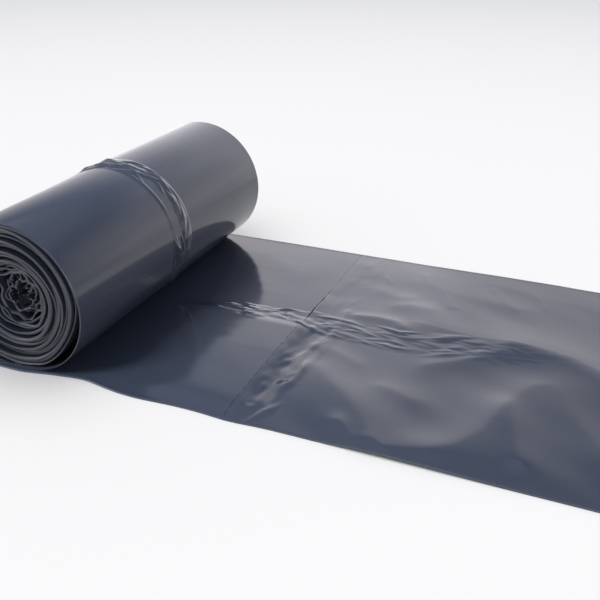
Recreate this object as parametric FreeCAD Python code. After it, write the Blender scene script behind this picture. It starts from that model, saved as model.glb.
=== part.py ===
"""A coreless roll of bin bags lying on its side, with its first bag pulled out flat.

The film leaves the bottom of the roll and runs along +X. The roll's axis runs along Y.
The origin is on the floor, under the roll's axis, at the middle of the film's width.
The whole object is one length of folded film, so it is one solid.
"""
import FreeCAD
import Part

import math
import os

Vector = FreeCAD.Vector

# Film: a bag folded lengthways to four plies
WEB_WIDTH = 250.0
WEB_THICK = 1.0
BAG_LENGTH = 600.0

# Roll
ROLL_RADIUS = 50.0
WRAP_WALL = 1.2
FAR_END_INSET = 4.0
NEAR_RECESS = 2.5
FAR_RECESS = 3.0
FLAT_SPOT_LEFT = 20.0
FLAT_SPOT_RIGHT = 7.0
HANG_ANGLE = 200.0

# Slack between the outer wrap and the turns under it, as angles seen from the near end
SLACK_FROM_ANGLE = -74.0
SLACK_TO_ANGLE = 4.0
SLACK_GAP = 4.5

# Gaps between the turns that show on the two ends, and the crumpled middle
TURN_PITCH = 4.8
TURN_GAP = 1.3
TURN_DEPTH = 6.0
OUTER_TURN = 2.0
MIDDLE_RADIUS = 13.0
MIDDLE_FOLDS = 7
MIDDLE_FOLD_DEPTH = 7.0
MIDDLE_DEPTH = 8.0

# Perforation between the bags, its torn slit, and the bottom weld of the first bag
TEAR_LINE_X = 142.0
SLOT_PITCH = 8.0
SLOT_LENGTH = 5.5
SLOT_WIDTH = 0.8
SLIT_FROM_Y = -5.0
SLIT_TO_Y = 44.5
SLIT_OPEN = 2.2
WELD_OFFSET = 16.0
WELD_WIDTH = 3.0
WELD_DEPTH = 0.4
FLAT_PAST_WELD = 5.0

# Gathered strip down the middle of the film: short pleats that overlap and cross
GATHER_Y = -3.0
GATHER_WIDTH = 25.0
PLEAT_WIDTH = 6.0
PLEAT_SINK = 0.4
PLEAT_PLACES = (0.0, 0.22, 0.5, 0.78, 1.0)
PLEAT_SIZES = (0.0, 0.75, 1.0, 0.75, 0.0)
PLEAT_SLANT = 2.4
PLEAT_STEP_RATIO = 0.8
PLEAT_WANDER = 1.0
ROLL_PLEAT_RISE = 1.1
ROLL_PLEAT_ANGLE = 46.0
ROLL_PLEAT_ROWS = 4
ROLL_PLEATS_FROM_ANGLE = -76.0
ROLL_PLEATS_TO_ANGLE = 198.0
WEB_PLEAT_RISE = 0.9
WEB_PLEAT_SPAN = 52.0
WEB_PLEAT_ROWS = 4
WEB_PLEATS_FROM_X = 72.0
WEB_PLEATS_TO_X = 305.0

# Waves of the first bag: centre past the perforation and beside the middle, half length and half
# width, all as shares of the film's width, then the turn in degrees and the share of the full rise
WAVE_RISE = 4.0
WAVES = (
    (0.264, -0.336, 0.200, 0.080, -35.0, 0.90),
    (0.520, -0.280, 0.200, 0.072, 57.0, 0.95),
    (0.748, -0.224, 0.160, 0.072, -54.0, 0.90),
    (0.572, 0.056, 0.320, 0.104, -10.0, 1.00),
    (0.280, 0.184, 0.180, 0.080, 6.0, 0.55),
    (1.392, 0.152, 0.340, 0.136, -16.0, 0.95),
    (1.344, -0.208, 0.360, 0.128, 0.0, 0.95),
    (1.992, 0.060, 0.256, 0.136, -32.0, 0.80),
)
WAVE_FADE = 36.0
WAVE_GRID = 25.0

HALF_WIDTH = WEB_WIDTH / 2
ROLL_NEAR_Y = -HALF_WIDTH
ROLL_FAR_Y = HALF_WIDTH - FAR_END_INSET
NEAR_FACE_Y = ROLL_NEAR_Y + NEAR_RECESS
FAR_FACE_Y = ROLL_FAR_Y - FAR_RECESS
INNER_WRAP_RADIUS = ROLL_RADIUS - WRAP_WALL
MOUTH_X = TEAR_LINE_X + BAG_LENGTH
WAVES_FROM_X = TEAR_LINE_X + WELD_OFFSET + WELD_WIDTH + FLAT_PAST_WELD
CLEAR = 1.0


def around(radius, angle, y=0.0, centre_x=0.0):
    """A point at that radius round the roll's axis. Angle 0 points along +X and 90 points up."""
    a = math.radians(angle)
    return Vector(centre_x + radius * math.cos(a), y, ROLL_RADIUS + radius * math.sin(a))


def arc(radius, start, end, centre_x=0.0):
    """A round stretch about the roll's axis, or about a line beside it, between two angles."""
    ends = (around(radius, a, 0.0, centre_x) for a in (start, (start + end) / 2, end))
    return Part.Arc(*ends).toShape()


def line(start, end):
    return Part.LineSegment(start, end).toShape()


def prism(edges, y_from, y_to):
    """The closed outline of edges in the plane y = 0, made into a solid between two values of y."""
    face = Part.Face(Part.Wire(edges))
    face.translate(Vector(0, min(y_from, y_to), 0))
    return face.extrude(Vector(0, abs(y_to - y_from), 0))


def wound_body():
    """The wound film, round but for the flat that it rests on and the slack wrap at its lower left."""
    rest_left = Vector(-FLAT_SPOT_LEFT, 0, 0)
    rest_right = Vector(FLAT_SPOT_RIGHT, 0, 0)
    lift_angle = math.degrees(math.asin(FLAT_SPOT_RIGHT / ROLL_RADIUS)) - 90
    lift = around(ROLL_RADIUS, lift_angle)
    hang = around(ROLL_RADIUS, HANG_ANGLE)
    slope = math.radians(HANG_ANGLE)
    down = Vector(-math.sin(slope), 0, math.cos(slope))
    corner = hang + down * (hang.z / -down.z)
    reach = (rest_left - corner).Length
    straight_end = corner - down * reach
    bend = reach / math.tan(down.getAngle(Vector(1, 0, 0)) / 2)
    bend_centre = straight_end + Vector(-down.z, 0, down.x) * bend
    bend_middle = bend_centre + (corner - bend_centre).normalize() * bend
    edges = [
        line(rest_left, rest_right),
        line(rest_right, lift),
        arc(ROLL_RADIUS, lift_angle, HANG_ANGLE),
        line(hang, straight_end),
        Part.Arc(straight_end, bend_middle, rest_left).toShape(),
    ]
    return prism(edges, ROLL_NEAR_Y, ROLL_FAR_Y)


def slack_gap():
    """The crescent of air between the loose outer wrap and the turns under it."""
    middle = (SLACK_FROM_ANGLE + SLACK_TO_ANGLE) / 2
    start = around(INNER_WRAP_RADIUS, SLACK_FROM_ANGLE)
    end = around(INNER_WRAP_RADIUS, SLACK_TO_ANGLE)
    inner = Part.Arc(end, around(INNER_WRAP_RADIUS - SLACK_GAP, middle), start).toShape()
    outer = arc(INNER_WRAP_RADIUS, SLACK_FROM_ANGLE, SLACK_TO_ANGLE)
    return prism([outer, inner], ROLL_NEAR_Y - CLEAR, ROLL_FAR_Y + CLEAR)


def end_recess(y_from, y_to):
    """The space that the wound turns leave inside the rim of the outer wrap."""
    start = Vector(0, y_from, ROLL_RADIUS)
    return Part.makeCylinder(INNER_WRAP_RADIUS, y_to - y_from, start, Vector(0, 1, 0))


def spiral_edges(side):
    """One wall of the spiral gap, from the middle out: half circles about two lines in turn."""
    outer = INNER_WRAP_RADIUS - OUTER_TURN - TURN_GAP / 2
    halves = 2 * int((outer - MIDDLE_RADIUS) / TURN_PITCH)
    last_angle = 360 + (SLACK_FROM_ANGLE + SLACK_TO_ANGLE) / 2
    edges = []
    for k in range(halves):
        radius = outer - (halves - 1 - k) * TURN_PITCH / 2 + side * TURN_GAP / 2
        centre_x = TURN_PITCH / 4 if k % 2 else -TURN_PITCH / 4
        start = 180 if k % 2 else 0
        end = last_angle if k == halves - 1 else start + 180
        edges.append(arc(radius, start, end, centre_x))
    return edges


def turn_gap(y_from, y_to):
    """The spiral gap between the film's turns."""
    inner = spiral_edges(-1)
    outer = spiral_edges(1)
    first = line(outer[0].Vertexes[0].Point, inner[0].Vertexes[0].Point)
    last = line(inner[-1].Vertexes[-1].Point, outer[-1].Vertexes[-1].Point)
    return prism(inner + [last] + outer[::-1] + [first], y_from, y_to)


def crumpled_middle(y_from, y_to):
    """The hollow that the first, pinched turns leave round the roll's axis."""
    corners = []
    for i in range(2 * MIDDLE_FOLDS):
        angle = 180 * (i + 0.3 * math.sin(2.4 * i)) / MIDDLE_FOLDS
        pinch = MIDDLE_FOLD_DEPTH if i % 2 else 0
        corners.append(around(MIDDLE_RADIUS * (1 - 0.08 * (i % 3)) - pinch, angle))
    return prism(Part.makePolygon(corners + corners[:1]).Edges, y_from, y_to)


def end_relief(face_y, inward):
    """What is cut from one end: the gap between the turns and the crumpled middle."""
    outside = face_y - inward * CLEAR
    return [
        turn_gap(outside, face_y + inward * TURN_DEPTH),
        crumpled_middle(outside, face_y + inward * MIDDLE_DEPTH),
    ]


def lead_in():
    """The flat film from under the roll to just past the weld of the first bag."""
    corner = Vector(-FLAT_SPOT_LEFT, -HALF_WIDTH, 0)
    film = Part.makeBox(WAVES_FROM_X + FLAT_SPOT_LEFT, WEB_WIDTH, WEB_THICK, corner)
    weld_corner = Vector(TEAR_LINE_X + WELD_OFFSET, -HALF_WIDTH, WEB_THICK - WELD_DEPTH)
    return film.cut(Part.makeBox(WELD_WIDTH, WEB_WIDTH, 2 * WELD_DEPTH, weld_corner))


def perforation():
    """The row of short slots between the bags, and the slit where it has begun to tear."""
    deep = WEB_THICK + 2 * CLEAR
    count = int(WEB_WIDTH // SLOT_PITCH)
    cutters = []
    for i in range(count):
        y = (i - (count - 1) / 2) * SLOT_PITCH
        if SLIT_FROM_Y - SLOT_LENGTH / 2 < y < SLIT_TO_Y + SLOT_LENGTH / 2:
            continue
        corner = Vector(TEAR_LINE_X - SLOT_WIDTH / 2, y - SLOT_LENGTH / 2, -CLEAR)
        cutters.append(Part.makeBox(SLOT_WIDTH, SLOT_LENGTH, deep, corner))
    start = Vector(TEAR_LINE_X, SLIT_FROM_Y, -CLEAR)
    end = Vector(TEAR_LINE_X, SLIT_TO_Y, -CLEAR)
    aside = Vector(SLIT_OPEN / 2, 0, 0)
    lips = [
        Part.Arc(start, (start + end) / 2 - aside, end).toShape(),
        Part.Arc(end, (start + end) / 2 + aside, start).toShape(),
    ]
    cutters.append(Part.Face(Part.Wire(lips)).extrude(Vector(0, 0, deep)))
    return cutters


def smooth_step(t):
    t = min(1.0, max(0.0, t))
    return t * t * (3 - 2 * t)


def wave_height(x, y):
    """How high the film stands at one pole of its surface, before the surface smooths it."""
    from_edge = min(x - WAVES_FROM_X, MOUTH_X - x, HALF_WIDTH - abs(y))
    height = 0.0
    for past, beside, half_length, half_width, turn, share in WAVES:
        a = math.radians(turn)
        dx = (x - TEAR_LINE_X) / WEB_WIDTH - past
        dy = y / WEB_WIDTH - beside
        along = (dx * math.cos(a) + dy * math.sin(a)) / half_length
        across = (dy * math.cos(a) - dx * math.sin(a)) / half_width
        height += share * WAVE_RISE * math.exp(-(along ** 2) - across ** 2)
    return WEB_THICK + height * smooth_step(from_edge / WAVE_FADE)


def wave_surface():
    """The upper face of the first bag: low waves of trapped air inside four straight edges."""
    columns = round((MOUTH_X - WAVES_FROM_X) / WAVE_GRID)
    rows = round(WEB_WIDTH / WAVE_GRID)
    poles = []
    for i in range(columns + 1):
        x = WAVES_FROM_X + (MOUTH_X - WAVES_FROM_X) * i / columns
        ys = [-HALF_WIDTH + WEB_WIDTH * j / rows for j in range(rows + 1)]
        poles.append([Vector(x, y, wave_height(x, y)) for y in ys])
    degree = 3
    surface = Part.BSplineSurface()
    surface.buildFromPolesMultsKnots(
        poles,
        [degree + 1] + [1] * (columns - degree) + [degree + 1],
        [degree + 1] + [1] * (rows - degree) + [degree + 1],
        udegree=degree,
        vdegree=degree,
    )
    return surface


def leading_bag(surface):
    """The first bag, pulled out flat: waves on top and level underneath."""
    face = surface.toShape()
    deep = 2 * face.BoundBox.ZMax
    block = face.extrude(Vector(0, 0, -deep))
    corner = Vector(WAVES_FROM_X, -HALF_WIDTH, 0)
    return block.common(Part.makeBox(MOUTH_X - WAVES_FROM_X, WEB_WIDTH, deep, corner))


def on_film(surface, x, y):
    """The point on the film's upper face over one place of the floor."""
    if x <= WAVES_FROM_X:
        return Vector(x, y, WEB_THICK)
    u, v = surface.parameter(Vector(x, y, wave_height(x, y)))
    return Vector(x, y, surface.value(u, v).z)


def triangle(a, b, c):
    return Part.Face(Part.makePolygon([a, b, c, a]))


def pleat(feet, outs, rise):
    """A slender fold standing on a row of feet, pointed at both ends and sunk a little into the film."""
    side = Vector(0, PLEAT_WIDTH / 2, 0)
    rings = []
    for foot, out, size in zip(feet, outs, PLEAT_SIZES):
        base = foot - out * PLEAT_SINK
        rings.append((foot + out * rise * size, base + side * size, base - side * size))
    start = feet[0] - outs[0] * PLEAT_SINK
    end = feet[-1] - outs[-1] * PLEAT_SINK
    middle = rings[1:-1]
    faces = []
    for i in range(3):
        j = (i + 1) % 3
        faces.append(triangle(start, middle[0][j], middle[0][i]))
        faces.append(triangle(end, middle[-1][i], middle[-1][j]))
        for near, far in zip(middle, middle[1:]):
            faces.append(triangle(near[i], near[j], far[j]))
            faces.append(triangle(near[i], far[j], far[i]))
    solid = Part.Solid(Part.Shell(faces))
    return solid if solid.Volume > 0 else solid.reversed()


def pleat_places(length, span, rows):
    """Overlapping places in rows: the start along the strip, the y of the row and the slant."""
    count = max(1, round((length - span) / (PLEAT_STEP_RATIO * span)))
    for row in range(rows):
        across = (row / (rows - 1) - 0.5) * (GATHER_WIDTH - PLEAT_WIDTH)
        for i in range(count + row % 2):
            share = (i + 0.5 - 0.5 * (row % 2)) / count
            slant = PLEAT_SLANT if (i + row) % 2 else -PLEAT_SLANT
            yield share * (length - span), GATHER_Y + across + PLEAT_WANDER * math.sin(3 * i + row), slant


def roll_pleats():
    """The gathered strip round the roll, clear of the floor."""
    made = []
    length = ROLL_PLEATS_TO_ANGLE - ROLL_PLEATS_FROM_ANGLE
    for start, y, slant in pleat_places(length, ROLL_PLEAT_ANGLE, ROLL_PLEAT_ROWS):
        angles = [ROLL_PLEATS_FROM_ANGLE + start + ROLL_PLEAT_ANGLE * t for t in PLEAT_PLACES]
        feet = [around(ROLL_RADIUS, a, y + slant * (2 * t - 1)) for a, t in zip(angles, PLEAT_PLACES)]
        outs = [around(1, a) - around(0, a) for a in angles]
        made.append(pleat(feet, outs, ROLL_PLEAT_RISE))
    return made


def web_pleats(surface):
    """The gathered strip along the pulled-out film, on both sides of the perforation."""
    made = []
    up = [Vector(0, 0, 1)] * len(PLEAT_PLACES)
    for from_x, to_x in ((WEB_PLEATS_FROM_X, TEAR_LINE_X - SLIT_OPEN), (WAVES_FROM_X, WEB_PLEATS_TO_X)):
        for start, y, slant in pleat_places(to_x - from_x, WEB_PLEAT_SPAN, WEB_PLEAT_ROWS):
            xs = [from_x + start + WEB_PLEAT_SPAN * t for t in PLEAT_PLACES]
            feet = [on_film(surface, x, y + slant * (2 * t - 1)) for x, t in zip(xs, PLEAT_PLACES)]
            made.append(pleat(feet, up, WEB_PLEAT_RISE))
    return made


def main():
    os.makedirs("parts", exist_ok=True)
    roll = wound_body()
    recesses = [
        end_recess(ROLL_NEAR_Y - CLEAR, NEAR_FACE_Y),
        end_recess(FAR_FACE_Y, ROLL_FAR_Y + CLEAR),
    ]
    for cutter in [slack_gap()] + recesses + end_relief(NEAR_FACE_Y, 1) + end_relief(FAR_FACE_Y, -1):
        roll = roll.cut(cutter)
    film = lead_in()
    for cutter in perforation():
        film = film.cut(cutter)
    surface = wave_surface()
    web = film.fuse(leading_bag(surface))
    whole = roll.fuse(web).removeSplitter()
    whole = whole.multiFuse(roll_pleats() + web_pleats(surface))
    whole.exportStep("parts/bag_roll.step")


main()
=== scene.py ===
"""The looks of a roll of bin bags with its first bag pulled out flat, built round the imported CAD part.

Everything is modelled in millimetres in the part's own frame: the film runs along +X, the roll's
axis runs along Y, and the floor is at z = 0. It is turned into metres where a mesh is made.
"""

import math

import bpy
import numpy as np
from mathutils import Matrix, Vector

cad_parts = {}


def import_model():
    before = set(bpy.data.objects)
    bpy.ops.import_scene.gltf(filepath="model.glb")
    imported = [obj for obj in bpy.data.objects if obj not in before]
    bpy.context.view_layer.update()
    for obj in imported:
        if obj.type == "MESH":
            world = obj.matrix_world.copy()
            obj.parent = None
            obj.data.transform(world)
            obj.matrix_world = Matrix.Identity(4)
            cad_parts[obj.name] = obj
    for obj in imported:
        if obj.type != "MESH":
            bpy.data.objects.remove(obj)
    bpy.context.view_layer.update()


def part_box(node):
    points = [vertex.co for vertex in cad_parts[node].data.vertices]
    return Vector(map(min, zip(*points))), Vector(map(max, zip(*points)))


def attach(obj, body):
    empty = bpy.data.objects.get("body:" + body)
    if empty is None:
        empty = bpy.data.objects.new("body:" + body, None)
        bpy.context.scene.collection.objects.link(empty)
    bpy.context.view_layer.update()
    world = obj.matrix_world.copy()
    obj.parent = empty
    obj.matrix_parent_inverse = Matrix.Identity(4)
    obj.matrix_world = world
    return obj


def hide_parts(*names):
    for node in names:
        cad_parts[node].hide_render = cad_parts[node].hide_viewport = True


MM = 0.001

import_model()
_, node_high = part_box("bag_roll")

# Sizes from the frame
HALF_WIDTH = node_high[1] / MM
MOUTH_X = node_high[0] / MM
LENGTH_TO_DIAMETER = 2.5
ROLL_RADIUS = HALF_WIDTH / LENGTH_TO_DIAMETER
AXIS_Z = ROLL_RADIUS

# Film
FILM = 0.6
BAG_LENGTH = 600.0
PERFORATION_X = MOUTH_X - BAG_LENGTH
UNDER_ROLL_X = -30.0
TRAPPED_AIR = 0.5
PLIES_APART = 0.3
LIP_WIDTH = 1.5 * FILM

# Roll
FAR_INSET = 4.0
HANG_ANGLE = 200.0
FLOOR_CONTACT_X = -20.0
WRAP_START_ANGLE = -82.0
SLACK_FROM_ANGLE = -76.0
SLACK_TO_ANGLE = 10.0
SLACK = 4.6
SLACK_POWER = 1.3
ROLL_NEAR_Y = -HALF_WIDTH
ROLL_FAR_Y = HALF_WIDTH - FAR_INSET
DOWN = 270.0

# Wound turns
TURN_PITCH = 2.3
TURN_THICK = 2.35
UNDER_WRAP = 1.5
TURNS_OUTER = ROLL_RADIUS - UNDER_WRAP
TURNS_INNER = 3.5
TURN_POINTS = 84
LEAST_RADIUS = 0.6
CAP_ANGLES = (0, 10, 30, 60, 90, 120, 150, 170, 180)
BODY_STATIONS = (0.02, 0.2, 0.8, 0.98)
CAP_DEPTH = 1.2
NEAR_CAP_DEPTH = 0.95
NEAR_CAP_BLUNTNESS = 0.65
NEAR_RECESS = 1.4
FAR_RECESS = 3.0
MIDDLE_RECESS = 8.0
MIDDLE_RADIUS = 29.0
MIDDLE_SLOPE = 18.0

# How the turns wander from a true spiral
CRUMPLE_RADIUS = 27.0
CRUMPLE = 3.3
CALM = 0.12
RIM_WOBBLE = 0.4
RIM_POWER = 3
THICK_SWING = 0.1
UNEVEN = 0.5
UNEVEN_REPEAT = 2.3 / 1.7
NEAR_STAGGER = 1.6
NEAR_STAGGER_REPEAT = 3.1 / 2.2
NEAR_CRUMPLE = 1.25
FAR_CRUMPLE = 1.0

# Waves round the roll: size, waves in a radian, drift in a turn and start
LOBES = ((1.0, 5, 2.1, 0.0), (0.7, 3, -1.3, 1.0), (0.5, 8, 4.0, 0.0))
OVAL = ((0.35, 2, 0.4, 0.0),)
NEAR_WAVES = ((0.7, 1.37, 0, 0.0),)
FAR_WAVES = ((1.2, 0, 2.7, 1.0), (0.6, 0.77, 0, 0.0))
END_TILT = ((0.6, 0, 2.9, 0.8), (0.25, 1.6, 0, 0.0), (0.15, 0, 7.3, 0.0))

# Gathered strip round the roll, with its uneven values as size, reach along, reach across and seed
GATHER_Y = -3.0
GATHER_HALF = 12.5
GATHER_FADE = 3.5
GATHER_LIFT = 0.25
EDGE_FOLD_IN = 2.4
EDGE_FOLD_PATH = ((1.2, 24.0, 1.0, 71),)
EDGE_FOLD_PLACES = ((1.0, 20.0, 1.0, 72),)
EDGE_FOLD_HALF = 1.8
EDGE_FOLD_RISE = 0.4
EDGE_FOLD_LEVEL = 0.6

# Gathered strip on the pulled-out film, whose edges are rows of x and rows of y
GATHER_TOP = ((76, 112, 142, 168, 195, 213, 236, 270, 320), (9, 7, 12, 12, 7, 7, 11, 17, 12))
GATHER_BOTTOM = ((76, 99, 117, 144, 181, 223, 242, 275, 320), (-15, -15, -9, -14, -16, -17, -13, -11, -14))
TOP_PATH = ((0.9, 7.0, 1.0, 73),)
STRIP_START_X = 62.0
STRIP_RUN_IN = 26.0
STRIP_END_X = 245.0
STRIP_RUN_OUT = 60.0
STRIP_LOSS = 0.9
STRIP_CHANGE = 12.0
WELT_RISE = 1.1
WELT_LOSS = 0.95
WELT_FALL = 2.4
WELT_LEVEL = 0.6
WELT_SWING = ((0.5, 9.0, 1.0, 74),)
WELT_LIMITS = (0.1, 1.2)
NEAR_OVERLAP = 0.15
NEAR_FADE = 0.25
FAR_OVERLAP = 0.2

# Folds of gathered film: count, stretch, farthest aside, half lengths, half widths, lean, rises and seed
ROLL_FACETS = (124, (-10, 450), 9.5, (7, 18), (3.0, 6.5), 0.62, (0.8, 2.0), 86)
WEB_FACETS = (30, (60, 150), 9.0, (7, 17), (2.4, 6.0), 0.5, (0.5, 1.4), 87)
BAG_FACETS = (86, (130, 330), 12.0, (9, 24), (2.4, 6.2), 0.36, (0.2, 0.8), 83)
PUCKERS = (64, (-122, 122), 14.0, (8, 20), (3.8, 7.5), 0.5, (0.5, 1.25), 85)
PUCKERS_MIDDLE = 13.0
PUCKERS_REACH = 30.0
PUCKERS_FADE = 9.0
PUCKERS_FAR_LEVEL = 0.22
PUCKERS_NEAR_Y = 8.0
PUCKERS_NEAR_FADE = 16.0

# Soft ridges of the film: points along each, its near and far widths and its height
RIDGE_BLEND = 3
RIDGE_BLUNTNESS = 1.3
RIDGE_STEP = 0.12
RIDGE_LEAST = 0.001
BAG_RIDGES = (
    (((170, -56), (187, -70), (198, -78), (211, -92), (224, -107), (236, -119), (256, -115), (271, -105),
      (283, -88), (290, -64), (296, -46), (304, -30), (312, -27), (321, -36), (329, -53), (339, -68),
      (352, -84)), 26, 16, 3.0),
    (((215, 25), (240, 20), (270, 16), (290, 16), (305, 10), (319, 6), (340, -10), (380, -30)), 20, 32, 3.8),
    (((280, 17), (306, 13), (322, 8), (345, -6), (385, -26)), 14, 20, 3.0),
    (((196, 92), (240, 78), (290, 74)), 14, 22, 0.9),
    (((250, 108), (320, 96), (380, 70)), 12, 20, 0.8),
    (((176, 66), (192, 58), (204, 60)), 7, 10, 0.6),
    (((172, 19), (187, 21), (202, 19), (211, 12)), 7, 5, 1.0),
    (((195, 43), (209, 47), (221, 45)), 11, 8, 0.9),
    (((236, -27), (253, -17), (267, -7), (282, 4)), 12, 8, 1.2),
    (((216, -62), (230, -65), (241, -70)), 13, 8, 1.1),
    (((204, -104), (219, -121)), 5, 5, 0.9),
    (((225, -114), (238, -121)), 5, 5, 0.8),
    (((173, -31), (185, -36), (197, -42)), 5, 5, 0.4),
    (((292, -52), (300, -84), (307, -104)), 10, 10, 1.9),
    (((420, 60), (480, 30), (560, 20)), 30, 40, 3.0),
    (((400, -60), (470, -40), (560, -70)), 26, 34, 3.0),
    (((600, 40), (680, -10)), 30, 34, 2.4),
)
CREASES = (
    (((199, 105), (232, 54)), 1.3, 1.3, 0.34),
    (((204, 105), (237, 54)), 1.3, 1.3, 0.34),
    (((254, 98), (275, 68)), 1.3, 1.3, 0.26),
    (((258, 98), (279, 68)), 1.3, 1.3, 0.24),
    (((288, 98), (297, 78)), 1.3, 1.3, 0.22),
    (((174, 89), (181, 80)), 1.3, 1.3, 0.30),
)
LEAD_IN_RIDGES = (
    (((60, 96), (120, 70)), 18, 26, 0.6),
)
SEAM_RIDGES = (
    (((166, 24), (170, -26), (166, -66), (161, -108)), 2.4, 2.4, 0.4),
    (((150, 110), (147, 50)), 6, 8, 0.35),
)

# Rise of the lead-in's near half, which lies on some air
AIR_START_X = 26.0
AIR_RUN_IN = 44.0
AIR_RUN_OUT = 13.0
AIR_EDGE_RISE = 2.3
AIR_EDGE_WIDTH = 15.0
AIR_SLOPE_RISE = 1.3
AIR_SLOPE_START_Y = -112.0
AIR_SLOPE_WIDTH = 62.0
AIR_END_Y = -18.0
AIR_END_WIDTH = 24.0

# Where the waves of the bag and of the lead-in fade
SIDE_LEVEL = 0.8
SIDE_FADE = 22.0
WAVES_START = 4.0
WAVES_RUN_IN = 18.0
MOUTH_FADE = 40.0
LEAD_IN_FADE = 30.0
BEAD_RISE = 0.16
BEAD_IN = 1.6

# Slight unevenness: size, reach along, reach across and seed
WEB_UNEVENNESS = ((0.22, 16.0, 9.0, 41), (0.3, 34.0, 22.0, 42))
LEAD_IN_UNEVEN = 0.2
BAG_UNEVEN = 0.5
LEAD_IN_TREMBLE = ((0.02, 22.0, 5.0, 43),)
TREMBLE_END_X = 118.0
TREMBLE_FADE = 12.0
WRAP_UNEVENNESS = ((0.12, 40.0, 30.0, 31),)

# Near edge of the film: how far it bulges at the roll, and its waves as middle, half length and reach
EDGE_BULGE = 4.0
EDGE_BULGE_START_X = -5.0
EDGE_BULGE_LENGTH = 30.0
EDGE_WAVES = ((42, 16.0, -3.0), (82, 20.0, 1.6), (146, 16.0, 1.5))
EDGE_WAVE_START_Y = -60.0
EDGE_WAVE_WIDTH = 65.0

# Perforation and the slit torn in it
SLOT_PITCH = 8.0
SLOT_SHARE = 0.35
SLOT_DEEP = 0.15
BRIDGE_OVERLAP = 0.03
NOTCH_REACH = 4.0
SLIT_FROM_Y = -5.0
SLIT_TO_Y = 44.5
SLIT_OPEN = 2.2
SLIT_LIFT = 1.3
SLIT_LIFT_REACH = 7.0

# Where the outer wrap is calm: at its start, at its hanging end and at its sides
WRAP_CALM = 4.0
WRAP_FADE_IN = 14.0
WRAP_HANG_CALM = 30.0
WRAP_FADE_OUT = 20.0
WRAP_SIDE_FADE = 12.0

# Steps and points of the meshes
EDGE_STRIP = 4.2
EDGE_STEP = 0.35
GATHER_STRIP = 24.0
WRAP_STEP = 1.4
BEND_STEP = 5.0
WEB_FINE = 0.7
WEB_COARSE = 2.2
WEB_LOWER_POINTS = 61
WRAP_FINE = 0.5
WRAP_COARSE = 2.6
WRAP_LOWER_POINTS = 9
CALM_STEP = 4.0
LEAD_IN_STEP = 1.6
BAG_STEP = 1.5
NOTCH_STEP = 0.8
ROLL_CLEAR_X = 30.0
CALM_BAG_X = 350.0
SHARP_ANGLE = 50.0

# Film material: darkest and lightest colour, smoothest and roughest gloss
FILM_LOOKS = ((0.027, 0.034, 0.050, 1), (0.034, 0.041, 0.059, 1), 0.09, 0.17)
# The wound turns get a darker copy of the film colour, which is painted shade where light is caught between
# the turns, and a rougher gloss
FILM_EDGE_PAINTED_SHADE_LOOKS = ((0.021, 0.026, 0.036, 1), (0.028, 0.034, 0.044, 1), 0.30, 0.42)
FILM_IOR = 1.5
FILM_SPECULAR = 0.62
STREAK_STRETCH = (10.0, 34.0, 10.0)
STREAK_SCALE = 5.0
STREAK_DETAIL = 4.0
CLOUD_SCALE = 14.0
CLOUD_DETAIL = 3.0
BUMP_STRENGTH = 0.12
BUMP_METRES = 0.0003

# Floor
FLOOR_METRES = 12.0
FLOOR_COLOR = (0.738, 0.716, 0.662, 1)
FLOOR_ROUGHNESS = 0.9

# Bright card behind the roll: its light by height and its share across
CARD_Y = 353.0
CARD_HALF_WIDTH = 1400.0
CARD_HEIGHT = 500.0
CARD_LEAN = -6.0
CARD_RISE = (
    (0, (1.50, 1.44, 1.50)),
    (30, (1.56, 1.50, 1.57)),
    (90, (1.90, 1.82, 1.90)),
    (180, (1.58, 1.54, 1.63)),
    (275, (1.32, 1.30, 1.40)),
    (312, (1.10, 1.08, 1.18)),
    (350, (0.94, 0.96, 1.08)),
    (385, (0.66, 0.71, 0.88)),
    (440, (0.40, 0.45, 0.60)),
    (500, (0.36, 0.41, 0.55)),
)
CARD_ACROSS = (
    (-1400, 0.30), (-520, 0.45), (-370, 0.62), (-150, 1.0), (120, 1.0),
    (190, 0.78), (280, 0.70), (370, 0.66), (490, 0.42), (1400, 0.30),
)

# Sky: its light by degrees above the floor
SKY = (
    (0, (1.70, 1.66, 1.72)),
    (12, (1.50, 1.48, 1.56)),
    (25, (0.85, 0.86, 0.95)),
    (38, (0.42, 0.45, 0.56)),
    (45, (0.42, 0.47, 0.62)),
    (52, (0.50, 0.56, 0.74)),
    (64, (0.50, 0.56, 0.74)),
    (78, (0.40, 0.45, 0.60)),
    (90, (0.30, 0.35, 0.46)),
)

# Lights: place, width in metres, power in watts and the point that each aims at
OVERHEAD = ((80.0, -200.0, 2600.0), 3.6, 75.0, (80.0, -100.0, 0.0))
KEY = ((-840.0, -1400.0, 1790.0), 0.7, 56.0, (75.0, -80.0, 0.0))
WINDOW = ((-1200.0, -700.0, 700.0), 1.0, 5.0, (0.0, -125.0, 50.0))

# Smooth noise
WANDER_RATE = 2.6
WANDER_PEAK = 1.2
WANDER_WAVES = 5

# Camera, fitted to the photograph
CAMERA_AT = (330.0, -455.3, 270.0)
CAMERA_TURN = 22.848
CAMERA_PITCH = 27.136
CAMERA_ROLL = -0.32
FOCAL_PIXELS = 794.96
IMAGE_PIXELS = 600.0
SENSOR_WIDTH = 36.0
CLIP_START_METRES = 0.01
AWAY_FROM_CAMERA = (-0.39, 0.92)


# Numbers
def smooth(t):
    """0 up to 0, 1 from 1 on, and a smooth step between."""
    t = np.clip(t, 0.0, 1.0)
    return t * t * (3 - 2 * t)


def wander(u, v, seed):
    """Smooth noise between about -1 and 1 that changes over about one unit of u and v."""
    rng = np.random.default_rng(seed)
    total = 0.0
    for _ in range(WANDER_WAVES):
        a, b = rng.uniform(-WANDER_RATE, WANDER_RATE, 2)
        total = total + np.sin(a * u + b * v + rng.uniform(0, 2 * math.pi))
    return total / math.sqrt(WANDER_WAVES) / WANDER_PEAK


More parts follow.
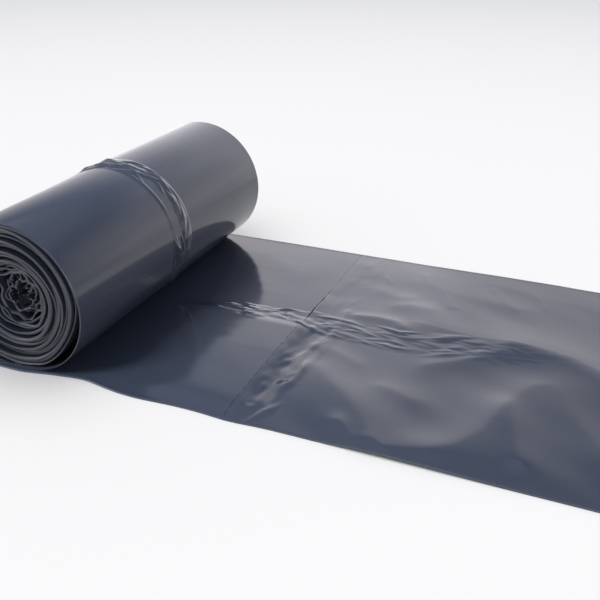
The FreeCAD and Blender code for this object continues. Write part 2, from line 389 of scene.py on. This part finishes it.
def unevenness(u, v, layers):
    """Smooth noise in layers, each given as size, reach along u, reach along v and seed."""
    total = 0.0
    for size, along, across, seed in layers:
        total = total + size * wander(u / along, v / across, seed)
    return total


def waves_round(a, turn, waves):
    """Waves round the roll, each given as size, waves in a radian, drift in a turn and start."""
    total = 0.0
    for size, count, drift, start in waves:
        total = total + size * np.sin(count * a + drift * turn + start)
    return total


def sharp(phase):
    """A row of sharp folds: 1 at each whole number, 0 halfway between."""
    return 1 - 2 * np.abs(phase - np.round(phase))


def around(radius, degrees):
    """The x and z of points round the roll's axis."""
    a = np.radians(degrees)
    return radius * np.cos(a), AXIS_Z + radius * np.sin(a)


# Meshes
def loft(name, rings):
    """A closed solid through a row of closed rings with the same number of points."""
    rows, around_count = rings.shape[:2]
    index = np.arange(rows * around_count).reshape(rows, around_count)
    following = np.roll(index, -1, axis=1)
    quads = np.stack([index[:-1], following[:-1], following[1:], index[1:]], axis=-1).reshape(-1, 4)
    faces = quads.tolist() + [index[0][::-1].tolist(), index[-1].tolist()]
    mesh = bpy.data.meshes.new(name)
    mesh.from_pydata((rings.reshape(-1, 3) * MM).tolist(), [], faces)
    mesh.validate()
    mesh.update()
    piece = bpy.data.objects.new(name, mesh)
    bpy.context.scene.collection.objects.link(piece)
    mesh.shade_smooth()
    mesh.set_sharp_from_angle(angle=math.radians(SHARP_ANGLE))
    return piece


def stretch_steps(*stretches):
    """Stations along stretches given as (start, end, step), each end used once."""
    parts = []
    for start, end, step in stretches:
        count = max(2, round(abs(end - start) / step) + 1)
        parts.append(np.linspace(start, end, count)[:-1])
    return np.append(np.concatenate(parts), stretches[-1][1])


def film_columns(fine, coarse):
    """Stations across the film, fine at the gathered strip and finest at its two edges."""
    return stretch_steps(
        (-HALF_WIDTH, -HALF_WIDTH + EDGE_STRIP, EDGE_STEP),
        (-HALF_WIDTH + EDGE_STRIP, -GATHER_STRIP, coarse),
        (-GATHER_STRIP, GATHER_STRIP, fine),
        (GATHER_STRIP, HALF_WIDTH - EDGE_STRIP, coarse),
        (HALF_WIDTH - EDGE_STRIP, HALF_WIDTH, EDGE_STEP),
    )


# Outline of the roll
def wrap_path():
    """Stations along the outer face of the outer wrap: x, z and the outward normal."""
    angles = stretch_steps((WRAP_START_ANGLE, HANG_ANGLE, WRAP_STEP))
    x, z = around(ROLL_RADIUS, angles)
    nx, nz = np.cos(np.radians(angles)), np.sin(np.radians(angles))
    turn = DOWN - HANG_ANGLE
    outward = np.array([math.cos(math.radians(HANG_ANGLE)), math.sin(math.radians(HANG_ANGLE))])
    down = np.array([-outward[1], outward[0]])
    hang = np.array([x[-1], z[-1]])
    corner = hang + down * hang[1] / -down[1]
    reach = FLOOR_CONTACT_X - corner[0]
    bend = reach / math.tan(math.radians(turn / 2))
    steps = stretch_steps((0.0, np.linalg.norm(corner - hang) - reach, WRAP_STEP))[1:]
    line = hang + steps[:, None] * down
    bends = np.radians(stretch_steps((HANG_ANGLE, DOWN, BEND_STEP))[1:])
    bend_x = FLOOR_CONTACT_X + bend * np.cos(bends)
    bend_z = bend + bend * np.sin(bends)
    return np.concatenate([
        np.stack([x, z, nx, nz], axis=1),
        np.hstack([line, np.tile(outward, (len(line), 1))]),
        np.stack([bend_x, bend_z, np.cos(bends), np.sin(bends)], axis=1),
    ])


def outline_reach(degrees):
    """How far the roll's outline is from its axis in each direction, against a true circle."""
    path = wrap_path()
    seen = np.degrees(np.arctan2(path[:, 1] - AXIS_Z, path[:, 0])) % 360
    reach = np.hypot(path[:, 0], path[:, 1] - AXIS_Z)
    order = np.argsort(seen)
    return np.interp(np.asarray(degrees) % 360, seen[order], reach[order], period=360) / ROLL_RADIUS


# Folds of the film
def scattered(count, along, side, half_length, half_width, lean, rise, seed):
    """Low pyramids at random places, each of their values drawn between two limits."""
    rng = np.random.default_rng(seed)
    limits = (along, (-side, side), half_length, half_width, (-lean, lean), rise)
    return np.stack([rng.uniform(low, high, count) for low, high in limits], axis=1)


def crumple(along, off, pyramids):
    """The highest of many low pyramids, whose sides meet in the sharp facets of gathered film."""
    height = np.zeros(np.broadcast(along, off).shape)
    for at, side, half_length, half_width, lean, rise in pyramids:
        across = np.abs(off - side - lean * (along - at)) / half_width
        height = np.maximum(height, rise * (1 - across - np.abs(along - at) / half_length))
    return height


def roll_gather(run, y):
    """The gathered strip round the roll: long folds at its edges and crossing facets between."""
    off = y - GATHER_Y
    inside = smooth((GATHER_HALF - np.abs(off)) / GATHER_FADE)
    facets = crumple(run, off, scattered(*ROLL_FACETS))
    edge_at = GATHER_HALF - EDGE_FOLD_IN + unevenness(run, np.sign(off), EDGE_FOLD_PATH)
    folds = np.clip(1 - np.abs(np.abs(off) - edge_at) / EDGE_FOLD_HALF, 0, 1)
    here = smooth(EDGE_FOLD_LEVEL + unevenness(run, np.sign(off), EDGE_FOLD_PLACES))
    return inside * (facets + GATHER_LIFT) + EDGE_FOLD_RISE * (folds * here)


def web_gather(x, y):
    """The gathered strip on the pulled-out film: a low welt, steep at its far side, with long folds on it."""
    top, bottom = np.interp(x, *GATHER_TOP), np.interp(x, *GATHER_BOTTOM)
    top = top + unevenness(x, 0 * y, TOP_PATH)
    share = (y - bottom) / (top - bottom)
    welt = np.where(share < 1, np.clip(share, 0, 1), np.clip(1 - (y - top) / WELT_FALL, 0, 1))
    bag = smooth((x - PERFORATION_X) / STRIP_CHANGE)
    rise = smooth((x - STRIP_START_X) / STRIP_RUN_IN)
    rise = rise * (1 - STRIP_LOSS * smooth((x - STRIP_END_X) / STRIP_RUN_OUT))
    near_fade = (share + NEAR_OVERLAP) / NEAR_FADE
    far_fade = (1 + FAR_OVERLAP - share) / FAR_OVERLAP
    inside = np.clip(np.minimum(near_fade, far_fade), 0, 1)
    middle = 0.5 * (top + bottom)
    early = crumple(x, y - middle, scattered(*WEB_FACETS)) * (1 - bag)
    later = crumple(x, y - middle, scattered(*BAG_FACETS)) * bag
    uneven = np.clip(WELT_LEVEL + unevenness(x, 0 * y, WELT_SWING), *WELT_LIMITS)
    return rise * ((WELT_RISE - WELT_LOSS * bag) * uneven * welt + inside * (early + later))


def ridge(x, y, points, near, far, height):
    """A soft ridge along a line of points, with one width down its near side and one down its far side."""
    away_x, away_y = AWAY_FROM_CAMERA
    total = np.zeros(x.shape)
    for (ax, ay), (bx, by) in zip(points, points[1:]):
        length = math.hypot(bx - ax, by - ay)
        count = max(2, round(length / (RIDGE_STEP * near)))
        for t in (np.arange(count) + 0.5) / count:
            dx, dy = x - ax - t * (bx - ax), y - ay - t * (by - ay)
            distance = np.hypot(dx, dy)
            side = (away_y * dy + away_x * dx) / (distance + RIDGE_LEAST)
            width = near + (far - near) * smooth(0.5 + 0.5 * side)
            share = length / count * math.sqrt(RIDGE_BLEND / math.pi) / width
            total += share * np.exp(-RIDGE_BLEND * (distance / width) ** RIDGE_BLUNTNESS)
    return height * total ** (1 / RIDGE_BLEND)


def puckers(x, y):
    """Small wrinkles between the perforation and the weld, strongest in the near half."""
    beyond = x - PERFORATION_X
    where = smooth(beyond / PUCKERS_FADE) * smooth((PERFORATION_X + PUCKERS_REACH - x) / PUCKERS_FADE)
    near = np.clip(PUCKERS_FAR_LEVEL + smooth((PUCKERS_NEAR_Y - y) / PUCKERS_NEAR_FADE), 0, 1)
    return where * near * crumple(y, beyond - PUCKERS_MIDDLE, scattered(*PUCKERS))


def lead_in_rise(x, y):
    """How far the near half of the lead-in lies up on air, until a step down just past the perforation."""
    along = smooth((x - AIR_START_X) / AIR_RUN_IN) * (1 - smooth((x - PERFORATION_X) / AIR_RUN_OUT))
    edge = AIR_EDGE_RISE * smooth((HALF_WIDTH + y) / AIR_EDGE_WIDTH)
    slope = AIR_SLOPE_RISE * np.clip((y - AIR_SLOPE_START_Y) / AIR_SLOPE_WIDTH, 0, 1)
    return along * (edge + slope) * (1 - smooth((y - AIR_END_Y) / AIR_END_WIDTH))


def edge_round(y):
    """1 inside the film, falling to 0 in a round lip at its long folded edges."""
    depth = np.clip((HALF_WIDTH - np.abs(y)) / LIP_WIDTH, 0, 1)
    return np.sqrt(1 - (1 - depth) ** 2)


def film_waves(x, y):
    """The puckers, the rise of the lead-in and every soft ridge of the pulled-out film."""
    bag = smooth((x - PERFORATION_X - WAVES_START) / WAVES_RUN_IN) * smooth((MOUTH_X - x) / MOUTH_FADE)
    lead_in = smooth((PERFORATION_X - x) / LEAD_IN_FADE)
    height = puckers(x, y) + lead_in_rise(x, y)
    for points, near, far, rise in SEAM_RIDGES:
        height = height + ridge(x, y, points, near, far, rise)
    for points, near, far, rise in BAG_RIDGES + CREASES:
        height = height + bag * ridge(x, y, points, near, far, rise)
    for points, near, far, rise in LEAD_IN_RIDGES:
        height = height + lead_in * ridge(x, y, points, near, far, rise)
    small = (LEAD_IN_UNEVEN + BAG_UNEVEN * bag) * unevenness(x, y, WEB_UNEVENNESS)
    tremble = unevenness(x, y, LEAD_IN_TREMBLE) * lead_in * smooth((TREMBLE_END_X - x) / TREMBLE_FADE)
    return height + web_gather(x, y) + small + tremble


def web_top(x, y):
    """The height of the pulled-out film's upper face above the floor."""
    fade = SIDE_LEVEL + (1 - SIDE_LEVEL) * smooth((HALF_WIDTH - np.abs(y)) / SIDE_FADE)
    bead = BEAD_RISE * np.exp(-(HALF_WIDTH - BEAD_IN - y) ** 2)
    return fade * (film_waves(x, y) + TRAPPED_AIR) + bead + FILM * edge_round(y)


def edge_wave(x, y):
    """How far the film's near edge waves out from a straight line."""
    out = EDGE_BULGE * (1 - smooth((x - EDGE_BULGE_START_X) / EDGE_BULGE_LENGTH))
    for middle, half_length, reach in EDGE_WAVES:
        out = out + reach * np.exp(-((x - middle) / half_length) ** 2)
    return -out * smooth((EDGE_WAVE_START_Y - y) / EDGE_WAVE_WIDTH)


# Perforation
def slit_shape(y):
    """0 to 1 along the torn slit."""
    t = np.clip((y - SLIT_FROM_Y) / (SLIT_TO_Y - SLIT_FROM_Y), 0, 1)
    return np.sin(math.pi * t)


def notch(y):
    """How far the film's edge stands back from the perforation's line."""
    slot = np.where(sharp(y / SLOT_PITCH) > SLOT_SHARE, SLOT_DEEP, -BRIDGE_OVERLAP)
    return np.maximum(slot, 0.5 * SLIT_OPEN * slit_shape(y))


def slit_lift(x, y):
    """How far the bag's edge curls up along the torn slit."""
    beyond = x - PERFORATION_X
    near_edge = np.exp(-np.maximum(beyond, 0) / SLIT_LIFT_REACH) * (beyond > 0)
    return SLIT_LIFT * near_edge * slit_shape(y)


# Pieces
def web_piece(name, stations, pull_back):
    """A stretch of the pulled-out film. pull_back moves its ends off the perforation."""
    top_y = film_columns(WEB_FINE, WEB_COARSE)
    low_y = np.linspace(HALF_WIDTH, -HALF_WIDTH, WEB_LOWER_POINTS)
    x, y = np.meshgrid(stations, top_y, indexing="ij")
    x = x + pull_back(x, y)
    upper = np.stack([x, y + edge_wave(x, y), web_top(x, y) + slit_lift(x, y)], axis=-1)
    low_x, low_y = np.meshgrid(stations, low_y, indexing="ij")
    low_x = low_x + pull_back(low_x, low_y)
    under = np.maximum(web_top(low_x, low_y) - FILM - PLIES_APART, 0.0)
    lower = np.stack([low_x, low_y + edge_wave(low_x, low_y), under], axis=-1)
    piece = loft(name, np.concatenate([upper, lower], axis=1))
    return piece


def lead_in_piece():
    """The film from under the roll to the perforation."""
    notch_from = PERFORATION_X - NOTCH_REACH
    stations = stretch_steps(
        (UNDER_ROLL_X, ROLL_CLEAR_X, CALM_STEP),
        (ROLL_CLEAR_X, notch_from, LEAD_IN_STEP),
        (notch_from, PERFORATION_X, NOTCH_STEP),
    )

    def pull_back(x, y):
        return -notch(y) * smooth((x - notch_from) / NOTCH_REACH)

    return web_piece("pulled_out_film", stations, pull_back)


def first_bag_piece():
    """The first bag, from the perforation to its mouth."""
    notch_to = PERFORATION_X + NOTCH_REACH
    stations = stretch_steps(
        (PERFORATION_X, notch_to, NOTCH_STEP),
        (notch_to, CALM_BAG_X, BAG_STEP),
        (CALM_BAG_X, MOUTH_X, CALM_STEP),
    )

    def pull_back(x, y):
        return notch(y) * smooth((notch_to - x) / NOTCH_REACH)

    return web_piece("first_bag", stations, pull_back)


def wrap_piece():
    """The loose outer wrap, from under the turns, round the roll and down to the floor."""
    path = wrap_path()
    run = np.append(0, np.cumsum(np.hypot(np.diff(path[:, 0]), np.diff(path[:, 1]))))
    path_x, path_z, out_x, out_z = path.T[:, :, None]
    middle = 0.5 * (ROLL_NEAR_Y + ROLL_FAR_Y)
    share = (ROLL_FAR_Y - ROLL_NEAR_Y) / (2 * HALF_WIDTH)
    s, y = np.meshgrid(run, film_columns(WRAP_FINE, WRAP_COARSE), indexing="ij")
    clear = smooth((s - WRAP_CALM) / WRAP_FADE_IN) * smooth((run[-1] - WRAP_HANG_CALM - s) / WRAP_FADE_OUT)
    clear = clear * smooth((HALF_WIDTH - np.abs(y)) / WRAP_SIDE_FADE)
    folds = roll_gather(s, y) + unevenness(s, y, WRAP_UNEVENNESS)
    out = folds * clear + FILM * (edge_round(y) - 1)
    outer = np.stack([path_x + out_x * out, middle + share * y, path_z + out_z * out], axis=-1)
    _, low_y = np.meshgrid(run, np.linspace(HALF_WIDTH, -HALF_WIDTH, WRAP_LOWER_POINTS), indexing="ij")
    within = FILM + 0 * low_y
    inner = np.stack([path_x - out_x * within, middle + share * low_y, path_z - out_z * within], axis=-1)
    piece = loft("outer_wrap", np.concatenate([outer, inner], axis=1)[:, ::-1])
    return piece


def turn_spiral():
    """Stations along the wound turns: angle in radians, turn, radius, thickness, crumpling and lobes."""
    turns = (TURNS_OUTER - TURNS_INNER) / TURN_PITCH
    angle = np.linspace(-turns * 360.0, 0.0, int(turns * TURN_POINTS)) + DOWN
    radius = TURNS_OUTER + TURN_PITCH * (angle - DOWN) / 360.0
    a = np.radians(angle)
    turn = (angle - DOWN) / 360.0
    crumpled = smooth((CRUMPLE_RADIUS - radius) / CRUMPLE_RADIUS)
    lobes = waves_round(a, turn, LOBES)
    wobble = (CALM + CRUMPLE * crumpled) * lobes + waves_round(a, turn, OVAL)
    outer = (radius / TURNS_OUTER) ** RIM_POWER
    slack_at = (angle % 360 - (SLACK_FROM_ANGLE % 360)) % 360 / (SLACK_TO_ANGLE - SLACK_FROM_ANGLE)
    slack = np.where(slack_at < 1, np.sin(math.pi * np.clip(slack_at, 0, 1)) ** SLACK_POWER, 0.0)
    uneven = UNEVEN * np.sin(2 * math.pi * turn / UNEVEN_REPEAT + 0.6 * np.sin(a))
    radius = radius + wobble * (RIM_WOBBLE + (1 - RIM_WOBBLE) * (1 - outer))
    radius = radius + (outline_reach(angle) - 1) * ROLL_RADIUS * outer
    radius = radius - SLACK * slack * outer + uneven * (1 - outer)
    thick = TURN_THICK * (1 - THICK_SWING + THICK_SWING * np.sin(0.9 * a + turn))
    return a, turn, radius, thick, crumpled, lobes


def wound_piece():
    """The wound turns: one thick soft band in a spiral, crumpled towards the middle."""
    a, turn, radius, thick, crumpled, lobes = turn_spiral()
    near = ROLL_NEAR_Y + NEAR_RECESS + NEAR_STAGGER * np.sin(2 * math.pi * turn / NEAR_STAGGER_REPEAT)
    near = near + waves_round(a, turn, NEAR_WAVES) + NEAR_CRUMPLE * crumpled * lobes
    near = near + MIDDLE_RECESS * smooth((MIDDLE_RADIUS - radius) / MIDDLE_SLOPE)
    far = ROLL_FAR_Y - FAR_RECESS + waves_round(a, turn, FAR_WAVES) - FAR_CRUMPLE * crumpled * lobes
    tilt = waves_round(a, turn, END_TILT)
    caps = np.radians(CAP_ANGLES)
    points = []

    def at(y, offset):
        r = np.maximum(radius + offset, LEAST_RADIUS)
        points.append(np.stack([r * np.cos(a), y, np.maximum(AXIS_Z + r * np.sin(a), FILM)], axis=-1))

    def body_y(t):
        return near + CAP_DEPTH + (far - near - 2 * CAP_DEPTH) * t

    for c in caps:
        side = -0.5 * thick * np.cos(c)
        at(near + NEAR_CAP_DEPTH * (1 - np.sin(c) ** NEAR_CAP_BLUNTNESS) + tilt * side, side)
    for t in BODY_STATIONS:
        at(body_y(t), 0.5 * thick)
    for c in caps:
        at(far - CAP_DEPTH * (1 - np.sin(c)), 0.5 * thick * np.cos(c))
    for t in BODY_STATIONS[::-1]:
        at(body_y(t), -0.5 * thick)
    piece = loft("wound_turns", np.stack(points, axis=1))
    return piece


# Material
def noise(nodes, links, place, scale, detail):
    """A noise texture, laid out by the place socket."""
    texture = nodes.new("ShaderNodeTexNoise")
    texture.inputs["Scale"].default_value = scale
    texture.inputs["Detail"].default_value = detail
    links.new(place, texture.inputs["Vector"])
    return texture


def film_material(name, darkest, lightest, smoothest, roughest):
    """Dark glossy film with a cloudy colour and fine streaks along it."""
    material = bpy.data.materials.new(name)
    material.use_nodes = True
    nodes = material.node_tree.nodes
    links = material.node_tree.links
    shader = nodes["Principled BSDF"]
    shader.inputs["IOR"].default_value = FILM_IOR
    shader.inputs["Specular IOR Level"].default_value = FILM_SPECULAR
    where = nodes.new("ShaderNodeTexCoord")
    place = nodes.new("ShaderNodeMapping")
    place.inputs["Scale"].default_value = STREAK_STRETCH
    links.new(where.outputs["Object"], place.inputs["Vector"])
    streaks = noise(nodes, links, place.outputs["Vector"], STREAK_SCALE, STREAK_DETAIL)
    cloud = noise(nodes, links, where.outputs["Object"], CLOUD_SCALE, CLOUD_DETAIL)
    tint = nodes.new("ShaderNodeMix")
    tint.data_type = "RGBA"
    tint.inputs["A"].default_value = darkest
    tint.inputs["B"].default_value = lightest
    links.new(cloud.outputs["Fac"], tint.inputs["Factor"])
    links.new(tint.outputs["Result"], shader.inputs["Base Color"])
    gloss = nodes.new("ShaderNodeMapRange")
    gloss.inputs["To Min"].default_value = smoothest
    gloss.inputs["To Max"].default_value = roughest
    links.new(streaks.outputs["Fac"], gloss.inputs["Value"])
    links.new(gloss.outputs["Result"], shader.inputs["Roughness"])
    bump = nodes.new("ShaderNodeBump")
    bump.inputs["Strength"].default_value = BUMP_STRENGTH
    bump.inputs["Distance"].default_value = BUMP_METRES
    links.new(streaks.outputs["Fac"], bump.inputs["Height"])
    links.new(bump.outputs["Normal"], shader.inputs["Normal"])
    return material


# Stage
def floor():
    """The white floor."""
    bpy.ops.mesh.primitive_plane_add(size=FLOOR_METRES, location=(0, 0, 0))
    plane = bpy.context.object
    plane.name = "floor"
    material = bpy.data.materials.new("floor")
    material.use_nodes = True
    shader = material.node_tree.nodes["Principled BSDF"]
    shader.inputs["Base Color"].default_value = FLOOR_COLOR
    shader.inputs["Roughness"].default_value = FLOOR_ROUGHNESS
    shader.inputs["Specular IOR Level"].default_value = 0.0
    plane.data.materials.append(material)
    return plane


def color_ramp(nodes, stops):
    """A colour ramp through (position from 0 to 1, colour) stops."""
    ramp = nodes.new("ShaderNodeValToRGB")
    elements = ramp.color_ramp.elements
    while len(elements) < len(stops):
        elements.new(0.5)
    for element, (position, color) in zip(elements, stops):
        element.position = position
        element.color = tuple(color) + (1,)
    return ramp


def card_material():
    """The card's own light, by height and across."""
    material = bpy.data.materials.new("bright_card")
    material.use_nodes = True
    nodes = material.node_tree.nodes
    links = material.node_tree.links
    nodes.clear()
    where = nodes.new("ShaderNodeTexCoord")
    split = nodes.new("ShaderNodeSeparateXYZ")
    links.new(where.outputs["Generated"], split.inputs["Vector"])
    rise = color_ramp(nodes, [(z / CARD_HEIGHT, color) for z, color in CARD_RISE])
    across = color_ramp(nodes, [(0.5 + 0.5 * x / CARD_HALF_WIDTH, (level,) * 3) for x, level in CARD_ACROSS])
    links.new(split.outputs["Y"], rise.inputs["Fac"])
    links.new(split.outputs["X"], across.inputs["Fac"])
    both = nodes.new("ShaderNodeVectorMath")
    both.operation = "MULTIPLY"
    links.new(rise.outputs["Color"], both.inputs[0])
    links.new(across.outputs["Color"], both.inputs[1])
    glow = nodes.new("ShaderNodeEmission")
    links.new(both.outputs["Vector"], glow.inputs["Color"])
    out = nodes.new("ShaderNodeOutputMaterial")
    links.new(glow.outputs["Emission"], out.inputs["Surface"])
    return material


def bright_card():
    """The bright backdrop behind the roll, seen only in the film's reflections."""
    bpy.ops.mesh.primitive_plane_add(size=1.0)
    card = bpy.context.object
    card.name = "bright_card"
    card.scale = (2 * CARD_HALF_WIDTH * MM, CARD_HEIGHT * MM, 1)
    card.rotation_euler = (math.radians(90), math.radians(CARD_LEAN), 0)
    card.location = (0, CARD_Y * MM, 0.5 * CARD_HEIGHT * MM)
    card.visible_camera = False
    card.visible_diffuse = False
    card.visible_shadow = False
    card.data.materials.append(card_material())


def world():
    """A studio sky, bright near the floor and dark above."""
    scene_world = bpy.data.worlds.new("studio")
    bpy.context.scene.world = scene_world
    scene_world.use_nodes = True
    nodes = scene_world.node_tree.nodes
    links = scene_world.node_tree.links
    where = nodes.new("ShaderNodeTexCoord")
    split = nodes.new("ShaderNodeSeparateXYZ")
    links.new(where.outputs["Generated"], split.inputs["Vector"])
    sky = color_ramp(nodes, [(math.sin(math.radians(elevation)), color) for elevation, color in SKY])
    links.new(split.outputs["Z"], sky.inputs["Fac"])
    links.new(sky.outputs["Color"], nodes["Background"].inputs["Color"])


def soft_light(name, location, size, power, target, lights, reflected=False):
    """A square soft light that lights only the objects in lights."""
    lamp = bpy.data.lights.new(name, "AREA")
    lamp.shape = "SQUARE"
    lamp.size = size
    lamp.energy = power
    lamp_object = bpy.data.objects.new(name, lamp)
    lamp_object.location = Vector(location) * MM
    aim = (Vector(target) - Vector(location)).to_track_quat("-Z", "Y")
    lamp_object.rotation_euler = aim.to_euler()
    lamp_object.visible_glossy = reflected
    lit = bpy.data.collections.new(name + "_lights")
    for lit_object in lights:
        lit.objects.link(lit_object)
    lamp_object.light_linking.receiver_collection = lit
    bpy.context.scene.collection.objects.link(lamp_object)


def camera():
    """The camera that took the photograph."""
    lens = bpy.data.cameras.new("camera")
    lens.sensor_width = SENSOR_WIDTH
    lens.lens = SENSOR_WIDTH * FOCAL_PIXELS / IMAGE_PIXELS
    lens.clip_start = CLIP_START_METRES
    view = bpy.data.objects.new("camera", lens)
    turn = Matrix.Rotation(math.radians(CAMERA_TURN), 4, "Z")
    pitch = Matrix.Rotation(math.radians(90 - CAMERA_PITCH), 4, "X")
    roll = Matrix.Rotation(math.radians(CAMERA_ROLL), 4, "Z")
    view.matrix_world = Matrix.Translation(Vector(CAMERA_AT) * MM) @ turn @ pitch @ roll
    bpy.context.scene.collection.objects.link(view)
    bpy.context.scene.camera = view


def main():
    bpy.context.scene.view_settings.view_transform = "Standard"
    film = film_material("film", *FILM_LOOKS)
    # Darker copy of the film for the wound turns: painted shade in its colour, with rougher gloss
    film_edges_painted_shade = film_material("film_edges_painted_shade", *FILM_EDGE_PAINTED_SHADE_LOOKS)
    pieces = [wound_piece(), wrap_piece(), lead_in_piece(), first_bag_piece()]
    for piece in pieces:
        piece.data.materials.append(film_edges_painted_shade if piece.name == "wound_turns" else film)
        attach(piece, "root")
    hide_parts("bag_roll")
    white_floor = floor()
    world()
    bright_card()
    soft_light("overhead", *OVERHEAD, [white_floor])
    soft_light("key", *KEY, pieces[1:])
    soft_light("window", *WINDOW, pieces, True)
    camera()


main()
